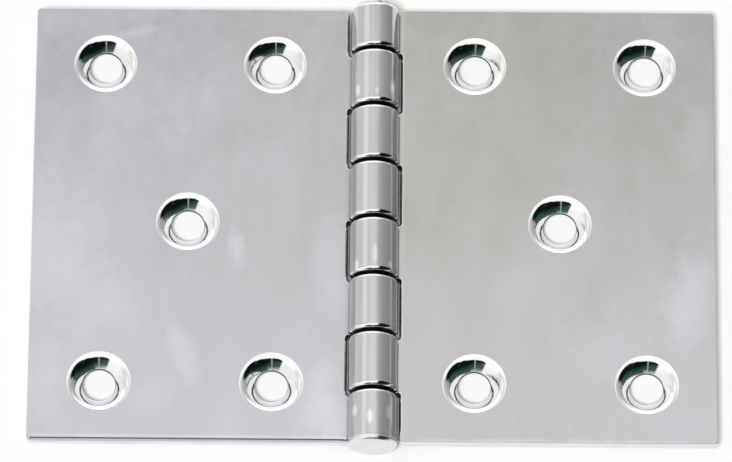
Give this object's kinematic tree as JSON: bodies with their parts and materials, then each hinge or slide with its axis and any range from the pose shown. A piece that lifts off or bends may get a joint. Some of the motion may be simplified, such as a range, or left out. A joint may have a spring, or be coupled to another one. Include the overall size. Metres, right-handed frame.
{
  "type": "butt hinge",
  "caption": "Flat butt hinge in polished stainless sheet, with rolled knuckles on one headed pin and countersunk screw holes in both leaves.",
  "frame": {"origin": "under the middle of the barrel, on the plane that touches the barrel's lowest line", "axes": "+X across the leaves to the right, +Y along the barrel away from the pin's head, +Z out of the countersunk faces"},
  "size_m": [0.1, 0.0703, 0.0071],
  "materials": {
    "left_leaf": "mirror-polished stainless steel",
    "right_leaf": "mirror-polished stainless steel",
    "pin": "polished stainless steel"
  },
  "bodies": {
    "left": {"left_leaf": "left_leaf", "pin": "pin"},
    "right": {"right_leaf": "right_leaf"}
  },
  "joints": [
    {"name": "leaf_swing", "type": "hinge", "parent": "left", "child": "right", "pos_m": [0, 0, 0.00355], "axis": [0, -1, 0], "range_deg": [-90, 180]}
  ]
}
